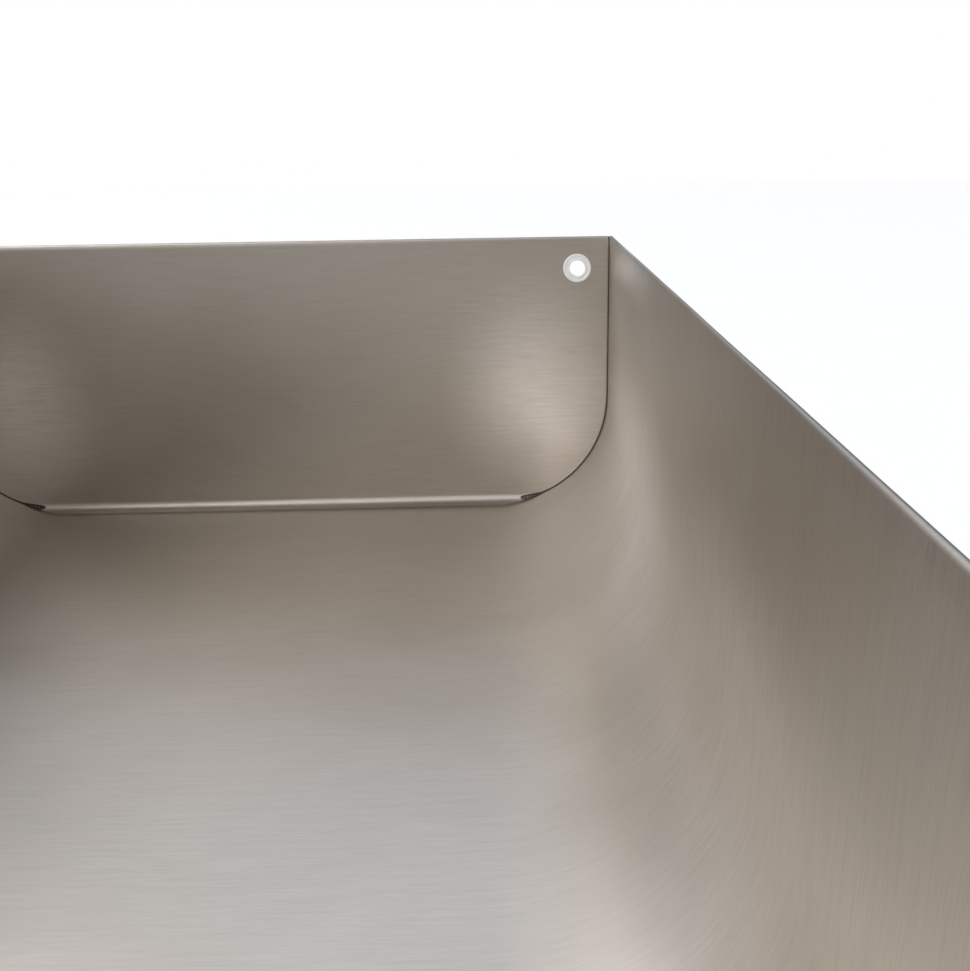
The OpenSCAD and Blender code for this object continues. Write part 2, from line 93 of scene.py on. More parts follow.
def grid_quads(rows, cols, first=0, wrap=False):
    """Four-sided faces of a grid whose vertices are numbered row by row."""
    r = np.arange(rows - 1)[:, None]
    c = np.arange(cols if wrap else cols - 1)[None, :]
    right = (c + 1) % cols
    here, below = r * cols, (r + 1) * cols
    quads = np.stack([here + c, below + c, below + right, here + right], axis=-1)
    return quads.reshape(-1, 4) + first

def face_normals(points, quads):
    """Cross product of each face's diagonals, as long as twice its area."""
    p = points[quads]
    return np.cross(p[:, 2] - p[:, 0], p[:, 3] - p[:, 1])

def facing(points, quads, towards):
    """The same faces, all turned round if most of them look away from the vertices' vectors."""
    agree = (face_normals(points, quads) * towards[quads].mean(axis=1)).sum()
    return quads if agree > 0 else quads[:, ::-1]

def border_of(rows, cols):
    """Row and column of each border point of a grid, once round, and of its neighbour inside."""
    across, down = np.arange(cols), np.arange(rows)
    back_up = down[-2:0:-1]
    row = np.concatenate([0 * across, down[1:], 0 * across[1:] + rows - 1, back_up])
    col = np.concatenate([across, 0 * down[1:] + cols - 1, across[-2::-1], 0 * back_up])
    loop = np.stack([row, col], axis=-1)
    inner = np.clip(loop, 1, [rows - 2, cols - 2])
    return loop, inner

def sheet_shell(inside, outward, uv, roundness):
    """Closed shell of a sheet.

    inside is a grid of points on the channel's side, and outward the unit vectors that point away
    from the channel. The outside is inside + sheet_t * outward. Along the border, the strip at
    angle a lies edge_r * (1 - cos a) outwards and edge_r * sin a * roundness past the edge.
    """
    rows, cols = inside.shape[:2]
    points = np.concatenate([inside.reshape(-1, 3), (inside + sheet_t * outward).reshape(-1, 3)])
    normals = np.concatenate([-outward.reshape(-1, 3), outward.reshape(-1, 3)])
    count = rows * cols
    quads = grid_quads(rows, cols)
    faces = [facing(points, quads, normals), facing(points, quads + count, normals)]
    loop, inner = border_of(rows, cols)
    edge = inside[loop[:, 0], loop[:, 1]]
    out = outward[loop[:, 0], loop[:, 1]]
    away = edge - inside[inner[:, 0], inner[:, 1]]
    away -= (away * out).sum(axis=1)[:, None] * out
    away /= np.linalg.norm(away, axis=1)[:, None]
    bulge = edge_r * roundness[loop[:, 0], loop[:, 1]][:, None]
    angles = np.linspace(0, np.pi, EDGE_STEPS + 1)[1:-1]
    strip = [edge + edge_r * (1 - np.cos(a)) * out + bulge * np.sin(a) * away for a in angles]
    ids = loop[:, 0] * cols + loop[:, 1]
    first = 2 * count
    n = len(loop)
    rings = [ids] + [first + k * n + np.arange(n) for k in range(len(angles))] + [ids + count]
    points = np.concatenate([points] + strip)
    turned = np.concatenate([normals] + [away] * len(angles))
    turned[ids] = turned[ids + count] = away
    for low, high in zip(rings[:-1], rings[1:]):
        quads = np.stack([low, np.roll(low, -1), np.roll(high, -1), high], axis=-1)
        faces.append(facing(points, quads, turned))
    flat_uv = uv.reshape(-1, 2)
    uvs = np.concatenate([flat_uv, flat_uv] + [flat_uv[ids]] * len(angles))
    return points, np.concatenate(faces), uvs

# %% [markdown]
# ## From arrays to a piece
# A maker welds several sheets into one part. The helper below does the same with arrays: it joins
# shells into one mesh with foreach_set, keeps the unrolled sheet's coordinates as a UV map, marks
# the hard edges by angle, and hides the nodes of the model that the new piece stands for.

# %% Faces of a closed shell
def outward_faces(points, quads):
    """The faces of a closed shell turned so that its signed volume is positive."""
    p = points[quads] - points.mean(axis=0)
    halves = np.cross(p[:, 1], p[:, 2]) + np.cross(p[:, 2], p[:, 3])
    volume = (p[:, 0] * halves).sum()
    return quads if volume > 0 else quads[:, ::-1]

# %% Mesh builder
made = []
SHARP_SHEET = np.radians(40)

def join_shells(shells):
    """One set of points, faces and UVs from several, with the face numbers moved along."""
    starts = np.cumsum([0] + [len(s[0]) for s in shells[:-1]])
    points = np.concatenate([s[0] for s in shells])
    faces = np.concatenate([s[1] + k for s, k in zip(shells, starts)])
    return points, faces, np.concatenate([s[2] for s in shells])

def mesh_from_arrays(name, points, faces, uvs):
    """Mesh of four-sided faces, smooth except at edges sharper than 40 degrees."""
    mesh = bpy.data.meshes.new(name)
    mesh.vertices.add(len(points))
    mesh.vertices.foreach_set("co", points.astype(np.float32).ravel())
    mesh.loops.add(faces.size)
    mesh.loops.foreach_set("vertex_index", faces.astype(np.int32).ravel())
    mesh.polygons.add(len(faces))
    mesh.polygons.foreach_set("loop_start", np.arange(0, faces.size, 4, dtype=np.int32))
    layer = mesh.uv_layers.new(name="sheet")
    layer.data.foreach_set("uv", uvs[faces.ravel()].astype(np.float32).ravel())
    mesh.update(calc_edges=True)
    mesh.polygons.foreach_set("use_smooth", np.ones(len(faces), dtype=bool))
    mesh.set_sharp_from_angle(angle=SHARP_SHEET)
    mesh.validate()
    return mesh

def piece(name, mesh, material, nodes):
    """Puts a mesh into the scene as one of the slide's pieces, in place of the nodes named."""
    obj = bpy.data.objects.new(name, mesh)
    bpy.context.scene.collection.objects.link(obj)
    mesh.materials.clear()
    mesh.materials.append(material)
    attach(obj, "root")
    if nodes:
        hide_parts(*nodes)
    made.append(obj)
    print(f"{name}: {len(mesh.vertices)} vertices, {len(mesh.polygons)} faces")
    return obj

# %% [markdown]
# ## Node materials
# Every finish below is a small tree of nodes. The helpers keep that readable: one adds a node and
# sets its values, one builds the usual noise with a stretch, and one mixes a colour by a mask.

# %% Material helpers
class Tree:
    """A material's node tree, with short calls to add nodes and links."""

    def __init__(self, name):
        self.material = bpy.data.materials.new(name)
        self.material.use_nodes = True
        self.nodes = self.material.node_tree.nodes
        self.links = self.material.node_tree.links
        self.nodes.clear()
        self.shader = self.add("ShaderNodeBsdfPrincipled")
        output = self.add("ShaderNodeOutputMaterial")
        self.link(self.shader.outputs[0], output.inputs["Surface"])

    def add(self, kind, **values):
        """New node of a kind, with its settings."""
        node = self.nodes.new(kind)
        for key, value in values.items():
            setattr(node, key, value)
        return node

    def link(self, source, target):
        self.links.new(source, target)

    def set(self, **values):
        """Sets the shader's own sockets; an underscore stands for a space."""
        for key, value in values.items():
            self.shader.inputs[key.replace("_", " ")].default_value = value

    def noise(self, coordinates, stretch, detail, roughness=0.55):
        """Noise over coordinates that are first multiplied by stretch. Gives 0 to 1."""
        mapping = self.add("ShaderNodeMapping")
        mapping.inputs["Scale"].default_value = stretch
        self.link(coordinates, mapping.inputs["Vector"])
        noise = self.add("ShaderNodeTexNoise")
        noise.inputs["Scale"].default_value = 1.0
        noise.inputs["Detail"].default_value = detail
        noise.inputs["Roughness"].default_value = roughness
        self.link(mapping.outputs[0], noise.inputs["Vector"])
        return noise.outputs["Fac"]

    def ramp(self, value, low, high, out_low=0.0, out_high=1.0):
        """value taken from the span low..high to out_low..out_high, and held at the ends."""
        node = self.add("ShaderNodeMapRange", interpolation_type="SMOOTHSTEP")
        spans = {"From Min": low, "From Max": high, "To Min": out_low, "To Max": out_high}
        for name, number in spans.items():
            node.inputs[name].default_value = number
        self.link(value, node.inputs["Value"])
        return node.outputs["Result"]

    def maths(self, operation, a, b):
        """One sum, product or other step on two values, each a socket or a number."""
        node = self.add("ShaderNodeMath", operation=operation)
        for socket, value in zip(node.inputs, (a, b)):
            if isinstance(value, (int, float)):
                socket.default_value = value
            else:
                self.link(value, socket)
        return node.outputs[0]

    def mix(self, mask, a, b):
        """Colour a where the mask is 0 and b where it is 1. Each is a socket or a colour."""
        node = self.add("ShaderNodeMix", data_type="RGBA")
        self.link(mask, node.inputs["Factor"])
        for socket, value in ((node.inputs[6], a), (node.inputs[7], b)):
            if isinstance(value, tuple):
                socket.default_value = (*value, 1.0)
            else:
                self.link(value, socket)
        return node.outputs[2]

    def bump(self, height, strength, distance):
        """Normal tilted by a height pattern, whose full swing is distance in metres."""
        node = self.add("ShaderNodeBump")
        node.inputs["Strength"].default_value = strength
        node.inputs["Distance"].default_value = distance
        self.link(height, node.inputs["Height"])
        return node.outputs["Normal"]

# %% [markdown]
# ## Brushed stainless sheet
# The belt that brushes the sheet leaves fine short scratches, all one way: across the slide. They
# smear each highlight along one line and leave faint light and dark hairs. The pattern reads
# the unrolled sheet's UV map, so the hairs run round each bend as they do on the real sheet. Wide
# soft patches stand for handling, and a warm tint for the steel's own colour. An image texture
# could do the same, but nodes stay sharp at any distance. Beside the seat's back corners the base
# colour is made lighter in soft spots: a painted highlight that stands in for a soft reflection there.

# %% Painted highlight beside the seat's back corners
PAINTED_HIGHLIGHT_SPOTS = [
    # middle across, along and up; reach the same way; strength
    ((0.194, wall_y, seat_z + 0.085), (0.075, 0.04, 0.105), 0.85),
    ((0.246, wall_y - 0.170, seat_z + 0.072), (0.07, 0.22, 0.080), 1.00),
    ((0.250, wall_y - 0.390, seat_z + 0.106), (0.09, 0.25, 0.055), 0.42),
    ((0.243, wall_y - 0.370, seat_z + 0.048), (0.035, 0.22, 0.055), 0.60),
    ((0.250, wall_y - 0.130, seat_z + 0.192), (0.04, 0.11, 0.022), 0.70),
]

def painted_highlight_mask(tree):
    """Soft spots of painted highlight beside the seat's back corners: a lighter base colour that stands
    in for a soft reflection there. Each is an ellipsoid: the mask falls from its middle to 0 where the
    scaled distance reaches 1."""
    place = tree.add("ShaderNodeTexCoord").outputs["Object"]
    mirrored = tree.add("ShaderNodeVectorMath", operation="ABSOLUTE")
    tree.link(place, mirrored.inputs[0])
    total = 0.0
    for middle, reach, strength in PAINTED_HIGHLIGHT_SPOTS:
        offset = tree.add("ShaderNodeVectorMath", operation="SUBTRACT")
        tree.link(mirrored.outputs[0], offset.inputs[0])
        offset.inputs[1].default_value = middle
        scaled = tree.add("ShaderNodeVectorMath", operation="DIVIDE")
        tree.link(offset.outputs[0], scaled.inputs[0])
        scaled.inputs[1].default_value = reach
        length = tree.add("ShaderNodeVectorMath", operation="LENGTH")
        tree.link(scaled.outputs[0], length.inputs[0])
        total = tree.maths("ADD", tree.ramp(length.outputs["Value"], 0.0, 1.0, strength, 0.0), total)
    return tree.maths("MINIMUM", total, 1.0)

# %% Brushed stainless material
WARM_STEEL, PALE_STEEL = (0.50, 0.452, 0.392), (0.56, 0.512, 0.452)
# Colour of the painted highlight beside the seat's back corners.
PAINTED_HIGHLIGHT_STEEL = (0.95, 0.895, 0.835)
HANDLED, IN_A_SCRATCH, IN_A_STREAK = (0.42, 0.375, 0.32), (0.36, 0.33, 0.29), (0.34, 0.305, 0.26)
SMUDGE_DEPTH, SCRATCH_DEPTH, STREAK_DEPTH = 0.18, 0.22, 0.11
SCRATCH_RELIEF = 0.06 * MM

def brushed_sheet():
    """Grain and patches on the unrolled sheet: u runs across the slide and v along it."""
    tree = Tree("brushed_sheet_steel")
    uv = tree.add("ShaderNodeUVMap", uv_map="sheet").outputs[0]
    hairs = tree.noise(uv, (38.0, 1500.0, 1.0), detail=2.0)
    fine = tree.noise(uv, (160.0, 5200.0, 1.0), detail=1.0)
    hairs = tree.maths("ADD", tree.maths("MULTIPLY", hairs, 0.6), tree.maths("MULTIPLY", fine, 0.4))
    streaks = tree.noise(uv, (24.0, 380.0, 1.0), detail=3.0, roughness=0.6)
    patches = tree.noise(uv, (4.0, 6.0, 1.0), detail=4.0, roughness=0.6)
    smudges = tree.noise(uv, (13.0, 21.0, 1.0), detail=5.0, roughness=0.65)
    steel = tree.mix(tree.ramp(patches, 0.3, 0.7), WARM_STEEL, PALE_STEEL)
    steel = tree.mix(tree.ramp(smudges, 0.58, 0.8, 0.0, SMUDGE_DEPTH), steel, HANDLED)
    # Painted highlight: a lighter base colour in soft spots beside the seat's back corners.
    steel = tree.mix(painted_highlight_mask(tree), steel, PAINTED_HIGHLIGHT_STEEL)
    steel = tree.mix(tree.ramp(hairs, 0.35, 0.65, 0.0, SCRATCH_DEPTH), steel, IN_A_SCRATCH)
    steel = tree.mix(tree.ramp(streaks, 0.40, 0.68, 0.0, STREAK_DEPTH), steel, IN_A_STREAK)
    tree.link(steel, tree.shader.inputs["Base Color"])
    worn = tree.ramp(patches, 0.3, 0.7, 0.38, 0.44)
    rough = tree.maths("ADD", worn, tree.ramp(hairs, 0.3, 0.7, -0.02, 0.05))
    tree.link(rough, tree.shader.inputs["Roughness"])
    tangent = tree.add("ShaderNodeTangent", direction_type="UV_MAP", uv_map="sheet")
    tree.link(tangent.outputs[0], tree.shader.inputs["Tangent"])
    tree.link(tree.bump(hairs, 0.10, SCRATCH_RELIEF), tree.shader.inputs["Normal"])
    tree.set(Metallic=1.0, Anisotropic=0.5)
    return tree.material

brushed = brushed_sheet()
print("nodes in the brushed steel:", len(brushed.node_tree.nodes))

# %% [markdown]
# ## The trough's section
# One line describes the sheet all along the slide: level in the middle, a large quarter circle at
# each side, then straight up. Following it by its length keeps the unrolled pattern true. Real
# sheet is never perfectly flat, so a slow swell of a fraction of a millimetre lies over it.

# %% Section and swell
BED_POINTS, CORNER_STEPS, WALL_POINTS = 41, 30, 15
SWELL_HEIGHT = 0.10 * MM

def section(length):
    """Place across and height of a point, with the way out of the channel there.

    length is measured along the section from the middle of the bed. The turn is the part of it
    past the level bed over the corner's radius, held between 0 and a quarter turn.
    """
    past = np.abs(length) - flat_half
    turn = np.clip(past / corner_r, 0, np.pi / 2)
    across = np.minimum(np.abs(length), flat_half) + corner_r * np.sin(turn)
    height = corner_r * (1 - np.cos(turn)) + np.maximum(past - corner_l, 0)
    side = np.sign(length)
    return side * across, height, side * np.sin(turn), -np.cos(turn)

def section_lengths(side):
    """Lengths at which a section is sampled: close together on the corners and wider elsewhere."""
    bed = np.linspace(-flat_half, flat_half, BED_POINTS)
    bend = np.linspace(0, np.minimum(corner_l, 0.8 * side), CORNER_STEPS + 1)[1:]
    rise = np.linspace(bend[-1], side, WALL_POINTS)[1:]
    one_side = flat_half + np.concatenate([bend, rise])
    return np.concatenate([-one_side[::-1], bed, one_side])

def swell(u, v):
    """Slow waviness of the sheet in metres: three crossed sines of unlike lengths."""
    first = np.sin(17.0 * u + 5.0 * v) * np.sin(11.0 * v + 1.3)
    second = np.sin(29.0 * u - 13.0 * v + 0.7)
    third = np.sin(41.0 * v + 7.0 * u + 2.1) * np.cos(23.0 * u)
    return SWELL_HEIGHT * (first + 0.6 * second + 0.5 * third)

# %% [markdown]
# ## Head trough and end wall
# The seat's trough runs back to the end wall. The wall is the bed's own sheet, turned up through a
# small bend, with its sides cut to the trough's section. A fine seam is left between wall and
# trough, and a little relief notch opens where the bend ends, so that the sheet can fold.

# %% Trough of the seat
LAP = 2 * MM
SEAT_ROWS = 41
TINY = 1e-9

def back_edge(length):
    """Where the trough ends: the bed stops at the bend, and the corners and walls run on to the
    back of the end wall."""
    bed_end = wall_y - bend_r - LAP
    return np.where(np.abs(length) <= flat_half + TINY, bed_end, wall_y + sheet_t)

def seat_trough():
    """Section drawn straight along the seat. Row by row y goes from the joint to the back edge,
    with half of the rows on the last fifth, where the end wall's shape shows."""
    lengths = section_lengths(side_l)
    x, height, out_x, out_z = section(lengths)
    share = np.concatenate([np.linspace(0, 0.8, SEAT_ROWS), np.linspace(0.8, 1, SEAT_ROWS)[1:]])
    end = back_edge(lengths)
    y = upper_joint_y + share[:, None] * (end - upper_joint_y)[None, :]
    spread = np.ones_like(y)
    outward = np.stack([out_x * spread, 0 * spread, out_z * spread], axis=-1)
    inside = np.stack([x * spread, y, seat_z + height * spread], axis=-1)
    uv = np.stack([lengths * spread, y - upper_joint_y], axis=-1)
    inside = inside + swell(uv[..., 0], uv[..., 1])[..., None] * outward
    round_edges = np.ones_like(y)
    round_edges[-1, np.abs(lengths) <= flat_half + TINY] = 0
    round_edges[0] = 0.3
    return sheet_shell(inside, outward, uv, round_edges)

# %% [markdown]
# ## End wall
# The wall is not a separate plate: its path starts in the bed, turns up through the bend and goes
# on to the top. Cut to shape with a Boolean it would lose its clean grid, so each row of the grid
# is made just as wide as the trough is at that height, less the seam.

# %% End wall with its bend
seam_gap = 0.45 * MM
notch_z = 3.6 * MM
notch_width, notch_rise, notch_spread = 9.5 * MM, 1.2 * MM, 2.0 * MM
sunk = 1.6 * MM
seam_start, seam_taper = 40 * MM, 110 * MM
BEND_ROWS, WALL_ROWS, WALL_COLUMNS = 25, 70, 121

def wall_half_width(z):
    """Half the channel's width at a height: the level bed and what the corner's circle adds."""
    fall = corner_r - np.clip(z, 0, corner_r)
    return flat_half + np.sqrt(np.maximum(corner_r ** 2 - fall ** 2, 0))

def seam_width(z):
    """Gap between the wall's edge and the trough. Below the notch the wall is sunk into the corner;
    at the notch the gap opens as a bell curve. Above it narrows by a cosine to a fifth at the top."""
    notch = notch_width * np.exp(-((z - notch_z - notch_rise) / notch_spread) ** 2)
    narrowing = 0.6 + 0.4 * np.cos(np.pi * np.clip((z - seam_start) / seam_taper, 0, 1))
    return np.where(z < notch_z - notch_rise, -sunk, seam_gap * narrowing + notch)

def end_wall():
    """Rows follow the path out of the bed, round the bend by its sine and cosine, and straight up.
    Across a row the points lie at the half width times the sine of an even turn, so that they
    crowd towards the seam."""
    bend_l = bend_r * np.pi / 2
    top_l = bend_l + wall_h - bend_r - edge_r
    round_the_bend = np.linspace(0, bend_l, BEND_ROWS)
    straight_up = np.linspace(bend_l, top_l, WALL_ROWS)[1:]
    path = np.concatenate([[-LAP, -LAP / 2], round_the_bend, straight_up])
    turn = np.clip(path / bend_r, 0, np.pi / 2)
    y = wall_y - bend_r + np.minimum(path, 0) + bend_r * np.sin(turn)
    z = bend_r * (1 - np.cos(turn)) + np.maximum(path - bend_l, 0)
    share = np.sin(np.linspace(-1, 1, WALL_COLUMNS) * np.pi / 2)
    half = wall_half_width(z) - seam_width(z) - edge_r
    half[path <= 0] = flat_half
    x = half[:, None] * share[None, :]
    spread = np.ones_like(x)
    back, down = np.sin(turn)[:, None], -np.cos(turn)[:, None]
    outward = np.stack([0 * x, back * spread, down * spread], axis=-1)
    inside = np.stack([x, y[:, None] * spread, seat_z + z[:, None] * spread], axis=-1)
    uv = np.stack([x, (path + wall_y - bend_r - upper_joint_y)[:, None] * spread], axis=-1)
    inside = inside + swell(uv[..., 0], uv[..., 1])[..., None] * outward
    round_edges = np.ones_like(x)
    round_edges[0] = 0
    return sheet_shell(inside, outward, uv, round_edges)

head_mesh = mesh_from_arrays("seat_sheet", *join_shells([seat_trough(), end_wall()]))
print("seat and end wall:", len(head_mesh.polygons), "faces")

# %% [markdown]
# ## Mounting holes and their bushes
# Two holes near the top corners take the bolts into the tower. A hole through a grid is awkward to
# weave by hand, so a Boolean cuts it, and the result is kept as plain mesh.

# %% Holes in the end wall
wall_bolts = next(m for m in frame["record"]["mounts"] if m["name"] == "wall_bolts")
hole_z = wall_bolts["pos_m"][2]
hole_x = wall_bolts["dims"]["spacing_x_mm"] * MM / 2
bore_r = wall_bolts["dims"]["hole_r_mm"] * MM
sleeve_r = bore_r + 1.4 * MM
hole_clearance = 0.1 * MM
CUTTER_SIDES = 96

def cut_holes(mesh, radius):
    """The mesh with a round hole through the end wall at each mounting place."""
    body = bpy.data.objects.new("seat_sheet_whole", mesh)
    bpy.context.scene.collection.objects.link(body)
    cutters = []
    for side in (-1, 1):
        bpy.ops.mesh.primitive_cylinder_add(
            vertices=CUTTER_SIDES, radius=radius, depth=8 * sheet_t,
            location=(side * hole_x, wall_y, hole_z), rotation=(np.pi / 2, 0, 0))
        cutter = bpy.context.object
        cut = body.modifiers.new("hole", "BOOLEAN")
        cut.operation = "DIFFERENCE"
        cut.solver = "EXACT"
        cut.object = cutter
        cutters.append(cutter)
    graph = bpy.context.evaluated_depsgraph_get()
    result = bpy.data.meshes.new_from_object(body.evaluated_get(graph))
    result.name = "seat_sheet"
    for obj in cutters + [body]:
        bpy.data.objects.remove(obj)
    result.set_sharp_from_angle(angle=SHARP_SHEET)
    return result

head_mesh = cut_holes(head_mesh, sleeve_r + hole_clearance)
piece("seat_sheet", head_mesh, brushed, ["head_trough"])

# %% [markdown]
# ## Weld beads
# A welder closes the seam from behind, so the joint stays a fine dark line on the seat's side. The
# same kind of bead runs round the foot of each post. A bead is a round bar laid along a path, with
# its radius swelling and shrinking a little at each dip of the rod. The beads' dark grey is partly
# the weld's heat tint and partly painted shade, darkened so that the seam and the relief notch read
# as shaded gaps.

# %% Finish for plain steel
def steel_tree(name, base, dull, rough, grain, tint=None):
    """Steel with patches of two greys, a stretched grain in its bump and an uneven gloss."""
    tree = Tree(name)
    place = tree.add("ShaderNodeTexCoord").outputs["Object"]
    patches = tree.noise(place, (9.0, 9.0, 5.0), detail=4.0, roughness=0.6)
    specks = tree.noise(place, (70.0, 70.0, 70.0), detail=4.0, roughness=0.65)
    lines = tree.noise(place, grain, detail=2.0)
    steel = tree.mix(tree.ramp(patches, 0.35, 0.65), base, dull)
    steel = tree.mix(tree.ramp(lines, 0.4, 0.7, 0.0, 0.25), steel, tuple(0.75 * c for c in dull))
    if tint is not None:
        steel = tree.mix(tree.ramp(specks, 0.4, 0.7, 0.1, 0.8), steel, tint)
    tree.link(steel, tree.shader.inputs["Base Color"])
    uneven = tree.ramp(specks, 0.3, 0.7, rough, rough + 0.1)
    gloss = tree.maths("ADD", uneven, tree.ramp(lines, 0.3, 0.7, 0.0, 0.06))
    tree.link(gloss, tree.shader.inputs["Roughness"])
    tree.link(tree.bump(lines, 0.12, GRAIN_RELIEF), tree.shader.inputs["Normal"])
    tree.set(Metallic=1.0)
    tree.colour = steel
    return tree

GRAIN_RELIEF = 0.1 * MM
HEAT_TINT = (0.12, 0.085, 0.065)
# Weld grey darker than heat tint alone: partly painted shade, so that the seam and the relief notch
# read as shaded gaps.
weld_steel_and_painted_shade = steel_tree(
    "weld_steel_and_painted_shade", (0.17, 0.155, 0.14), (0.11, 0.10, 0.09), 0.48, (500, 500, 500), HEAT_TINT).material

# %% Bead along a path
BEAD_SIDES = 12

def bead(path, flat_normal, radius, closed, pitch=2.6 * MM):
    """Round bar along a path in one plane.

    A point at angle a round the bar lies at path + r * (cos a * side + sin a * flat_normal), where
    side is square to both the path and the plane's normal. r swells by a sine along the length,
    and shrinks to nothing at the ends of an open path.
    """
    ahead = np.roll(path, -1, axis=0) - np.roll(path, 1, axis=0)
    step = np.linalg.norm(np.diff(path, axis=0, append=path[:1]), axis=1)
    far = np.concatenate([[0], np.cumsum(step[:-1])])
    if not closed:
        ahead = np.gradient(path, axis=0)
    ahead /= np.linalg.norm(ahead, axis=1)[:, None]
    side = np.cross(ahead, flat_normal)
    r = radius * (1 + 0.08 * np.sin(2 * np.pi * far / pitch))
    if not closed:
        r *= np.sqrt(np.clip(np.minimum(far, far[-1] - far) / radius, 1e-3, 1))
    angle = np.linspace(0, 2 * np.pi, BEAD_SIDES, endpoint=False)[None, :, None]
    around = np.cos(angle) * side[:, None] + np.sin(angle) * np.array(flat_normal)
    points = path[:, None] + r[:, None, None] * around
    rows = len(path)
    ids = np.arange(rows * BEAD_SIDES).reshape(rows, BEAD_SIDES)
    if closed:
        ids = np.concatenate([ids, ids[:1]])
    quads = ids.reshape(-1)[grid_quads(len(ids), BEAD_SIDES, wrap=True)]
    flat = points.reshape(-1, 3)
    if not closed:
        k = np.arange(BEAD_SIDES // 2 - 1)
        cap = np.stack([k, k + 1, BEAD_SIDES - 2 - k, BEAD_SIDES - 1 - k], axis=-1)
        quads = np.concatenate([quads, cap, cap[:, ::-1] + (rows - 1) * BEAD_SIDES])
    return flat, outward_faces(flat, quads), np.zeros((len(flat), 2))

# %% Bead behind the seam, and beads round the posts
def seam_path(side):
    """From the notch up along the wall's edge, behind the end wall."""
    half_way, top = 0.5 * corner_r, wall_h - 0.4 * MM
    z = np.concatenate([np.linspace(1.2 * MM, half_way, 160), np.linspace(half_way, top, 240)[1:]])
    x = side * (wall_half_width(z) - seam_gap / 2)
    return np.stack([x, np.full_like(z, wall_y + sheet_t + 0.4 * MM), seat_z + z], axis=-1)

def square_path(node):
    """Once round a post's foot, at the top of its base plate. The way out at an angle is the half
    side over the larger of its cosine and sine, held back at the corners."""
    low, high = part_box(node)
    centre = np.array([(low.x + high.x) / 2, (low.y + high.y) / 2, low.z])
    half = (high.x - low.x) / 2
    angle = np.linspace(0, 2 * np.pi, 360, endpoint=False)
    reach = half / np.maximum(np.abs(np.cos(angle)), np.abs(np.sin(angle)))
    held_back = 1.32
    reach = np.minimum(reach, held_back * half)
    return centre + np.stack([reach * np.cos(angle), reach * np.sin(angle), 0 * angle], axis=-1)

def notch_path(side):
    """Short way across behind the relief notch, at the foot of the seam."""
    x = side * np.linspace(flat_half + 14 * MM, flat_half + 34 * MM, 60)
    z = 0.8 * MM + corner_r - np.sqrt(corner_r ** 2 - (0.75 * (np.abs(x) - flat_half)) ** 2)
    return np.stack([x, np.full_like(x, wall_y + 3.0 * MM), seat_z + z], axis=-1)

seam_bead_r, notch_bead_r, foot_bead_r = 1.8 * MM, 3.2 * MM, 2.6 * MM
# Beads behind the seam and the notch: their dark colour is partly painted shade for these gaps.
beads = [bead(seam_path(side), (0, 1, 0), seam_bead_r, False) for side in (-1, 1)]
beads += [bead(notch_path(side), (0, 1, 0), notch_bead_r, False) for side in (-1, 1)]
posts = ["head_post_left", "head_post_right", "runout_post_left", "runout_post_right"]
beads += [bead(square_path(node), (0, 0, 1), foot_bead_r, True, 4 * MM) for node in posts]
bead_mesh = mesh_from_arrays("weld_beads", *join_shells(beads))
piece("weld_beads", bead_mesh, weld_steel_and_painted_shade, [])

# %% [markdown]
# ## Bushes
# A pale bush with a flange sits in each hole and keeps the bolt off the sheet. On the lathe it is a
# turned part. Spin could make it from a few vertices, but a closed outline carried round a circle
# as arrays gives the same ring with its faces known to look out.

# %% Material of the bushes
def pale_polymer():
    """Slightly cloudy moulded plastic: two near whites by a dust pattern, and a fine grain."""
    tree = Tree("white_polymer")
    place = tree.add("ShaderNodeTexCoord").outputs["Object"]
    grain = tree.noise(place, (900.0, 900.0, 900.0), detail=2.0)
    dust = tree.noise(place, (160.0, 160.0, 160.0), detail=3.0)
    colour = tree.mix(tree.ramp(dust, 0.45, 0.75, 0.0, 0.5), (0.96, 0.955, 0.95), (0.84, 0.83, 0.80))
    tree.link(colour, tree.shader.inputs["Base Color"])
    tree.link(tree.ramp(dust, 0.3, 0.7, 0.32, 0.45), tree.shader.inputs["Roughness"])
    tree.link(tree.bump(grain, 0.15, 0.0001), tree.shader.inputs["Normal"])
    tree.set(Subsurface_Weight=0.1, Subsurface_Scale=0.001)
    return tree.material

# %% A turned ring
def turned(outline, centre, axis, across, steps=72):
    """Closed ring: each point (radius, depth) of the outline goes round the axis. The depth runs
    along the axis, and the radius along cos * across + sin * (axis x across)."""
    angle = np.linspace(0, 2 * np.pi, steps, endpoint=False)
    axis, across = np.array(axis, float), np.array(across, float)
    other = np.cross(axis, across)
    around = np.cos(angle)[:, None] * across + np.sin(angle)[:, None] * other
    outline = np.array(outline)
    points = centre + outline[:, None, 1, None] * axis + outline[:, None, 0, None] * around[None]
    closed = np.concatenate([points, points[:1]])
    ids = np.arange(len(outline) * steps).reshape(len(outline), steps)
    ids = np.concatenate([ids, ids[:1]])
    quads = grid_quads(len(closed), steps, wrap=True)
    quads = ids.reshape(-1)[quads]
    flat = points.reshape(-1, 3)
    return flat, outward_faces(flat, quads), np.zeros((len(flat), 2))

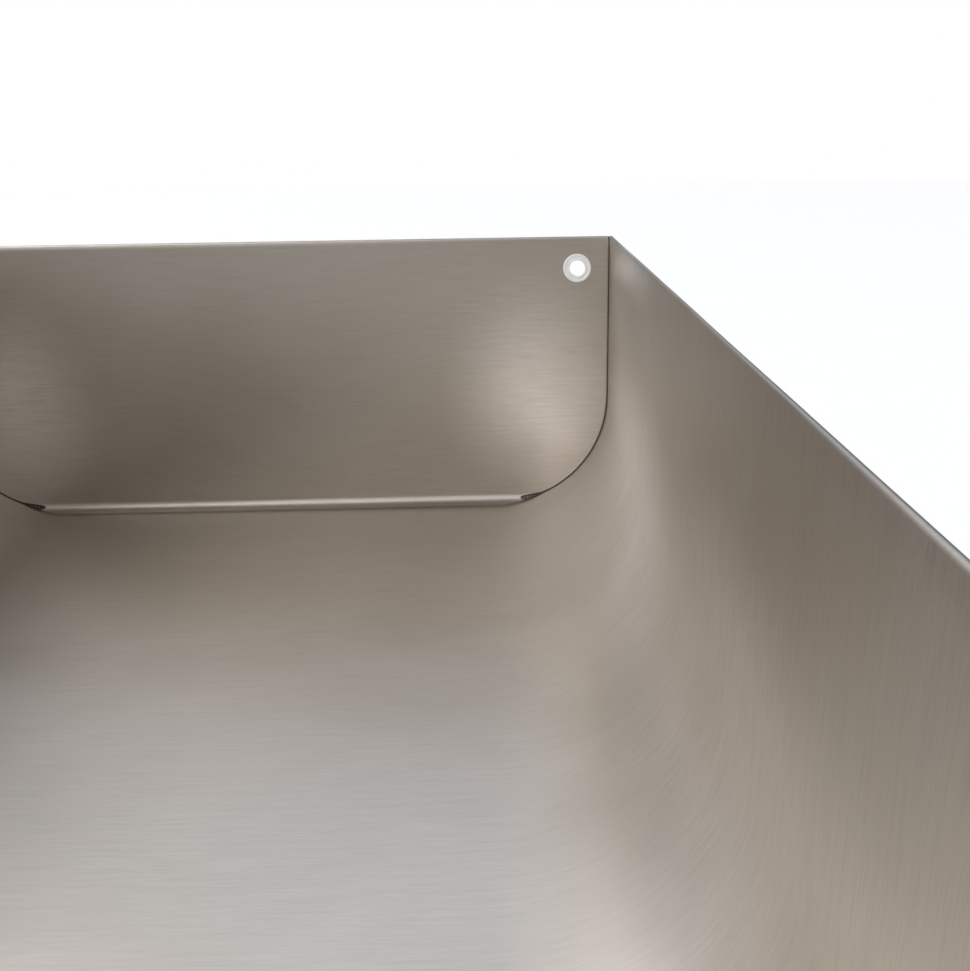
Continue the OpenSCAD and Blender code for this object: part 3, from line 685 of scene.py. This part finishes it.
# %% Bushes
def bush_outline():
    """Radius and depth of a bush's section: flange with a rounded rim, sleeve and eased bore."""
    low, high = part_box("mounting_bushes")
    flange_r = (high.z - low.z) / 2
    front = wall_y - low.y
    ease, groove_half, groove_depth = 0.45 * MM, 0.5 * MM, 0.25 * MM
    quarter = np.linspace(0, np.pi / 2, 6)
    reach, drop = ease * np.sin(quarter), ease * (1 - np.cos(quarter))
    rim = np.stack([flange_r - ease + reach, drop - front], axis=-1)
    lip = np.stack([bore_r + ease - reach, drop - front], axis=-1)[::-1]
    groove_r = (bore_r + flange_r) / 2
    groove = [(groove_r - groove_half, -front), (groove_r, groove_depth - front),
              (groove_r + groove_half, -front)]
    back = [(flange_r, 0.0), (sleeve_r, 0.0), (sleeve_r, sheet_t), (bore_r, sheet_t)]
    return np.concatenate([lip, groove, rim, back])

centres = [(side * hole_x, wall_y, hole_z) for side in (-1, 1)]
bushes = [turned(bush_outline(), centre, (0, 1, 0), (1, 0, 0)) for centre in centres]
bush_mesh = mesh_from_arrays("mounting_bush", *join_shells(bushes))
piece("mounting_bush", bush_mesh, pale_polymer(), ["mounting_bushes"])

# %% [markdown]
# ## Chute and run-out
# The chute's line is made of straight falls and arcs. Each arc turns the slope from one angle to
# another, so one formula gives all of them, and the section above is carried along square to it.
# A curve with a bevel object could do this too, but its frame may twist, and its UVs stretch.

# %% Line of the slide
steep, gentle = np.radians(38), np.radians(14)
wave_r, dip_r, lip_r = 450 * MM, 700 * MM, 60 * MM
stub_l = 30 * MM
level_drop, wave_drop = 1 - np.cos(steep), np.cos(gentle) - np.cos(steep)
arc_drop = wave_r * level_drop + 4 * wave_r * wave_drop + dip_r * level_drop
falls_l = (seat_z - runout_z - arc_drop) / np.sin(steep)
wave_legs = [
    (stub_l, 0, 0), (wave_r, 0, steep), (0.24 * falls_l, steep, steep),
    (wave_r, steep, gentle), (wave_r, gentle, steep), (0.30 * falls_l, steep, steep),
    (wave_r, steep, gentle), (wave_r, gentle, steep), (0.46 * falls_l, steep, steep),
    (dip_r, steep, 0), (stub_l, 0, 0),
]

def leg_line(start, leg, spacing=0.012):
    """Points of one leg as rows of y, z, slope and length. A straight leg falls by the sine of its
    slope; on an arc of radius r, y moves by r times the change of the slope's sine and z by r
    times the change of its cosine."""
    size, slope, next_slope = leg
    turn = np.sign(next_slope - slope)
    length = size if turn == 0 else size * abs(next_slope - slope)
    share = np.linspace(0, 1, max(2, int(np.ceil(length / spacing)) + 1))
    slopes = slope + (next_slope - slope) * share
    if turn == 0:
        y = start[0] - size * share * np.cos(slope)
        z = start[1] - size * share * np.sin(slope)
    else:
        y = start[0] - turn * size * (np.sin(slopes) - np.sin(slope))
        z = start[1] - turn * size * (np.cos(slope) - np.cos(slopes))
    return np.stack([y, z, slopes, start[3] + length * share], axis=-1)

def whole_line(legs, start, spacing=0.012):
    """All legs one after another, without the doubled points where they meet."""
    rows = [leg_line(start, legs[0], spacing)]
    for leg in legs[1:]:
        rows.append(leg_line(rows[-1][-1], leg, spacing)[1:])
    return np.concatenate(rows)

def carried(line, lengths):
    """Section carried along a line. Lengths hold one row of section lengths for each point of it."""
    x, height, out_x, out_z = section(lengths)
    y, z, slope, far = (line[:, k][:, None] for k in range(4))
    inside = np.stack([x, y - height * np.sin(slope), z + height * np.cos(slope)], axis=-1)
    outward = np.stack([out_x, -out_z * np.sin(slope), out_z * np.cos(slope)], axis=-1)
    uv = np.stack([lengths, far + 0 * lengths], axis=-1)
    inside = inside + swell(uv[..., 0], uv[..., 1])[..., None] * outward
    return inside, outward, uv

# %% Waved chute
chute_pattern_start, runout_pattern_start = 2.0, 6.0  # far apart, so no two sheets look alike
joint_edge = 0.3  # how round a sheet's edge is where it butts against the next
wave_line = whole_line(wave_legs, (upper_joint_y, seat_z, 0, chute_pattern_start))
wave_lengths = np.tile(section_lengths(side_l), (len(wave_line), 1))
inside, outward, uv = carried(wave_line, wave_lengths)
round_edges = np.ones(inside.shape[:2])
round_edges[0] = round_edges[-1] = joint_edge
wave_mesh = mesh_from_arrays("chute_sheet", *sheet_shell(inside, outward, uv, round_edges))
piece("chute_sheet", wave_mesh, brushed, ["wave_trough"])
print("chute ends", np.round(wave_line[-1], 4), "lower joint", round(lower_joint_y, 4))

# %% [markdown]
# ## Run-out
# At the foot the side walls come down in an easy curve, and the bed rolls over into a lip that no
# shin can catch on. The same carried section does it: its length simply shrinks along the line.

# %% Run-out with its lip
runout_l = 450 * MM
taper_start, lip_side = 0.45, 16 * MM
runout_legs = [
    (runout_l * taper_start, 0, 0),
    (runout_l * (1 - taper_start), 0, 0),
    (lip_r, 0, np.pi / 2),
]
runout_line = whole_line(runout_legs, (lower_joint_y, runout_z, 0, 0), spacing=0.006)
taper_l = runout_legs[1][0] + lip_r * np.pi / 2
taper = np.clip((runout_line[:, 3] - runout_legs[0][0]) / taper_l, 0, 1)
sides = lip_side + (side_l - lip_side) * (0.5 + 0.5 * np.cos(np.pi * taper))
runout_lengths = np.stack([section_lengths(side) for side in sides])
inside, outward, uv = carried(runout_line, runout_lengths)
round_edges = np.ones(inside.shape[:2])
round_edges[0] = joint_edge
uv = uv + [0, runout_pattern_start]
runout_mesh = mesh_from_arrays("runout_sheet", *sheet_shell(inside, outward, uv, round_edges))
piece("runout_sheet", runout_mesh, brushed, ["runout_trough"])

# %% [markdown]
# ## Bars, tubes, plates and fasteners
# The rest of the slide is cut bar, square tube, plate and bolts. Their shapes in the model are
# right, but a sawn or punched edge is never knife-sharp. Each piece here is a copy of its node with
# flat faces made whole again, and a small bevel along its edges that catches the light.

# %% Finishes of the frame
satin_tones = (0.56, 0.545, 0.52), (0.47, 0.455, 0.43)
plain_tones = (0.60, 0.59, 0.57), (0.52, 0.51, 0.49)
tube_tones = (0.54, 0.53, 0.51), (0.44, 0.43, 0.41)
satin = steel_tree("satin_bar_steel", *satin_tones, 0.34, (30, 30, 900)).material
plain = steel_tree("turned_steel", *plain_tones, 0.24, (900, 900, 120)).material
GROUND_DUST = (0.42, 0.38, 0.32)
splash_height = 0.16

def tube_steel():
    """Drawn tube: grain up the post, and dust and splashes close to the ground."""
    tree = steel_tree("drawn_tube_steel", *tube_tones, 0.32, (700, 700, 12))
    place = tree.add("ShaderNodeTexCoord").outputs["Object"]
    height = tree.add("ShaderNodeSeparateXYZ")
    tree.link(place, height.inputs[0])
    splash = tree.noise(place, (60.0, 60.0, 60.0), detail=6.0, roughness=0.7)
    near_ground = tree.ramp(height.outputs["Z"], 0.0, splash_height, 0.75, 0.0)
    dust = tree.maths("MULTIPLY", near_ground, tree.ramp(splash, 0.45, 0.65))
    tree.link(tree.mix(dust, tree.colour, GROUND_DUST), tree.shader.inputs["Base Color"])
    bare = tree.maths("SUBTRACT", 1.0, tree.maths("MULTIPLY", dust, 0.9))
    tree.link(bare, tree.shader.inputs["Metallic"])
    return tree.material

def black_cap():
    """Moulded black plastic with a fine grain and a film of dust."""
    tree = Tree("black_cap_polymer")
    place = tree.add("ShaderNodeTexCoord").outputs["Object"]
    grain = tree.noise(place, (1400.0, 1400.0, 1400.0), detail=2.0)
    dust = tree.noise(place, (90.0, 90.0, 90.0), detail=4.0)
    colour = tree.mix(tree.ramp(dust, 0.5, 0.8, 0.0, 0.6), (0.022, 0.022, 0.023), (0.075, 0.072, 0.068))
    tree.link(colour, tree.shader.inputs["Base Color"])
    tree.link(tree.ramp(dust, 0.3, 0.7, 0.42, 0.6), tree.shader.inputs["Roughness"])
    tree.link(tree.bump(grain, 0.2, 0.0001), tree.shader.inputs["Normal"])
    return tree.material

tube, cap = tube_steel(), black_cap()
print("materials so far:", len(bpy.data.materials))

# %% Softened copies of the frame's nodes
finish_of_slot = {
    "satin_stainless": (satin, 0.8 * MM), "support_stainless": (tube, 1.2 * MM),
    "plain_stainless": (plain, 0.4 * MM), "black_polymer": (cap, 1.5 * MM),
}

MERGE_WITHIN = 0.001 * MM
FLAT_WITHIN, SHARP_METAL, BEVEL_ABOVE = np.radians(0.5), np.radians(30), np.radians(35)

def whole_faces(node):
    """Copy of a node's mesh: points merged, flat triangles joined into faces, all facing out."""
    shape = bmesh.new()
    shape.from_mesh(node.data)
    bmesh.ops.remove_doubles(shape, verts=shape.verts, dist=MERGE_WITHIN)
    bmesh.ops.dissolve_limit(
        shape, angle_limit=FLAT_WITHIN, verts=shape.verts, edges=shape.edges)
    bmesh.ops.recalc_face_normals(shape, faces=shape.faces)
    mesh = bpy.data.meshes.new(node.name + "_softened")
    shape.to_mesh(mesh)
    shape.free()
    mesh.polygons.foreach_set("use_smooth", np.ones(len(mesh.polygons), dtype=bool))
    mesh.set_sharp_from_angle(angle=SHARP_METAL)
    return mesh

def soften(node_name, slot):
    """Piece that stands for one node, with its edges eased by a narrow bevel."""
    material, width = finish_of_slot[slot]
    mesh = whole_faces(bpy.data.objects[node_name])
    obj = piece(node_name + "_piece", mesh, material, [node_name])
    bevel = obj.modifiers.new("eased_edges", "BEVEL")
    bevel.width = width
    bevel.segments = 2
    bevel.limit_method = "ANGLE"
    bevel.angle_limit = BEVEL_ABOVE
    bevel.harden_normals = True

for part in frame["record"]["subparts"]:
    if part["material_slot"] in finish_of_slot:
        soften(part["node"], part["material_slot"])

# %% [markdown]
# ## Camera
# The view is a close one, from over the seat down into the corner where bed, wall and end wall
# meet. The camera stands 0.69 m in front of the end wall and looks down by about 20 degrees.

# %% Camera
eye = Vector((180.7 * MM, wall_y - 692.6 * MM, seat_z + 262.6 * MM))
heading, tilt, roll = 0.93, 19.81, -0.87
camera_data = bpy.data.cameras.new("camera")
camera_data.sensor_width = 36.0
camera_data.lens = 35.22
camera_data.shift_x = -0.0479  # a little sideways, so that the corner sits right of the middle
camera_data.clip_start = 0.01
camera = bpy.data.objects.new("camera", camera_data)
turn_to_heading = Matrix.Rotation(-np.radians(heading), 4, "Z")
turn_to_tilt = Matrix.Rotation(np.radians(90 - tilt), 4, "X")
turn_to_roll = Matrix.Rotation(np.radians(roll), 4, "Z")
camera.matrix_world = Matrix.Translation(eye) @ turn_to_heading @ turn_to_tilt @ turn_to_roll
bpy.context.scene.collection.objects.link(camera)
bpy.context.scene.camera = camera
print("camera at", [round(c, 3) for c in eye])

# %% [markdown]
# ## Light and floor
# Metal shows what is round it. Behind everything the camera sees plain white, over a pale floor.
# The light itself comes from soft lamps, so the steel keeps dark and bright sides.

# %% World and floor
SKY_GLOW = 0.12
FLOOR_TONES = (0.93, 0.915, 0.885), (0.95, 0.935, 0.905)
floor_size, floor_drop = 80, 1 * MM

def studio_world():
    """White behind everything for the camera, and a weak even glow for the light itself."""
    world = bpy.data.worlds.new("studio")
    world.use_nodes = True
    nodes, links = world.node_tree.nodes, world.node_tree.links
    background = nodes["Background"]
    background.inputs["Color"].default_value = (1.0, 1.0, 1.0, 1.0)
    seen = nodes.new("ShaderNodeLightPath")
    strength = nodes.new("ShaderNodeMapRange")
    strength.inputs["To Min"].default_value = SKY_GLOW
    strength.inputs["To Max"].default_value = 1.0
    links.new(seen.outputs["Is Camera Ray"], strength.inputs["Value"])
    links.new(strength.outputs["Result"], background.inputs["Strength"])
    return world

bpy.context.scene.world = studio_world()

def studio_floor():
    """Matt pale floor with a faint slow mottle."""
    tree = Tree("pale_floor")
    place = tree.add("ShaderNodeTexCoord").outputs["Object"]
    mottle = tree.noise(place, (0.8, 0.8, 0.8), detail=4.0)
    tree.link(tree.mix(mottle, *FLOOR_TONES), tree.shader.inputs["Base Color"])
    tree.set(Roughness=0.9)
    return tree.material

bpy.ops.mesh.primitive_plane_add(size=floor_size, location=(0, 0, -floor_drop))
floor = bpy.context.object
floor.name = "floor"
floor.data.materials.append(studio_floor())

# %% [markdown]
# ## Soft lamps all round
# A shiny thing looks best ringed with large soft panels. Far away, a panel is a sun lamp with a
# wide angle, which needs no placing. An area lamp would do as well, but it lights near and far
# parts of a long slide unevenly. Heading is counted from behind the end wall towards the slide's
# right, and height is the angle above the horizon.

# %% Lamps
PANELS = [
    # name, heading, height, width in degrees, strength, colour
    ("over_the_wall", 0, 38, 40, 0.25, (0.88, 0.97, 1.17)),
    ("high_front", 0, 65, 50, 0.31, (0.90, 0.98, 1.14)),
    ("left_front", 320, 38, 40, 0.20, (0.95, 0.99, 1.06)),
    ("left_high", 290, 38, 40, 2.00, (0.98, 0.99, 1.04)),
    ("left_low", 250, 30, 30, 0.92, (0.98, 0.99, 1.04)),
    ("left_back", 225, 38, 36, 0.74, (0.98, 0.99, 1.04)),
    ("back_low", 204, 14, 18, 0.25, (0.98, 0.99, 1.04)),
    ("down_the_slide", 185, 36, 40, 0.20, (0.98, 0.99, 1.04)),
    ("right_back", 130, 38, 40, 0.36, (0.98, 0.99, 1.04)),
]

def panel(name, heading, height, width, strength, colour):
    """Sun lamp that shines from a heading and height. Its width is the angle it fills."""
    data = bpy.data.lights.new(name, "SUN")
    data.energy = strength
    data.angle = np.radians(width)
    data.color = colour
    lamp = bpy.data.objects.new(name, data)
    turn, rise = np.radians(heading), np.radians(height)
    source = Vector((np.cos(rise) * np.sin(turn), np.cos(rise) * np.cos(turn), np.sin(rise)))
    lamp.rotation_euler = source.to_track_quat("Z", "Y").to_euler()
    bpy.context.scene.collection.objects.link(lamp)

for row in PANELS:
    panel(*row)
bpy.context.scene.view_settings.view_transform = "Standard"
print("lamps:", len(PANELS))

# %% [markdown]
# ## Close
# The last cell prints how many pieces were made.

# %% Finish
print("pieces made:", len(made))
